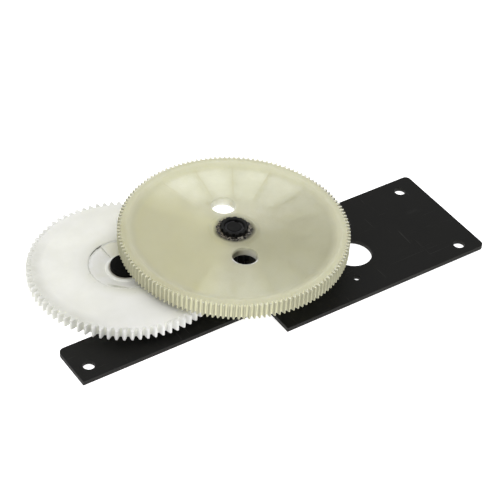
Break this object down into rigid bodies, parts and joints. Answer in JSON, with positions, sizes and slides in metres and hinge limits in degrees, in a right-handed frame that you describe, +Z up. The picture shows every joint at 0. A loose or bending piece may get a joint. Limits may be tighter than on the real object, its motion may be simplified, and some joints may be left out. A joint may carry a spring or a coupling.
{
  "type": "spur gear reduction on motor plate",
  "caption": "Stepped steel motor plate carrying a spur gear reduction: a large moulded gear with a steel pinion drives a smaller moulded gear on a steel hub.",
  "frame": {"origin": "centre of the motor pilot bore, at the underside of the plate", "axes": "+X along the plate towards its wide end, +Z up from the plate through the gears, +Y towards the gears' side of the plate"},
  "size_m": [0.2851, 0.1532, 0.0324],
  "materials": {
    "black_plate": "black oxide or thin black paint, matt, worn grey along the cut edges",
    "dark_steel": "turned steel, oiled",
    "zinc_steel": "zinc plated, satin",
    "spring_steel": "blackened spring steel",
    "rivet_steel": "plain steel, pressed",
    "bronze": "sintered bronze, oil filled",
    "black_steel": "blackened steel, greasy",
    "ivory_nylon": "moulded nylon, translucent ivory, satin",
    "white_nylon": "moulded white nylon, satin",
    "washer_nylon": "moulded nylon, slightly yellowed"
  },
  "bodies": {
    "root": {"mounting_plate": "black_plate", "idler_stud": "dark_steel", "idler_spacer": "zinc_steel", "idler_thrust_washer": "bronze", "idler_shim": "zinc_steel", "idler_snap_ring": "spring_steel", "output_bearing_flange": "zinc_steel", "bearing_rivets": "rivet_steel", "output_bearing_bush": "bronze", "output_thrust_washer": "zinc_steel"},
    "intermediate_gear": {"input_gear": "ivory_nylon", "drive_pinion": "black_steel", "pinion_bush_lower": "bronze", "pinion_bush_upper": "bronze", "gear_retaining_ring": "spring_steel"},
    "output": {"output_gear": "white_nylon", "output_hub": "black_steel", "hub_rivets": "rivet_steel", "dished_washer": "washer_nylon", "output_circlip": "spring_steel"}
  },
  "joints": [
    {"name": "intermediate_gear_spin", "type": "hinge", "parent": "root", "child": "intermediate_gear", "pos_m": [-0.07092, 0.03247, 0.025], "axis": [0, 0, 1], "continuous": true},
    {"name": "output_gear_spin", "type": "hinge", "parent": "root", "child": "output", "pos_m": [-0.13857, 0.05123, 0.012], "axis": [0, 0, 1], "continuous": true}
  ],
  "couplings": [
    {"joint": "output_gear_spin", "follows": "intermediate_gear_spin", "ratio": -0.1625}
  ]
}
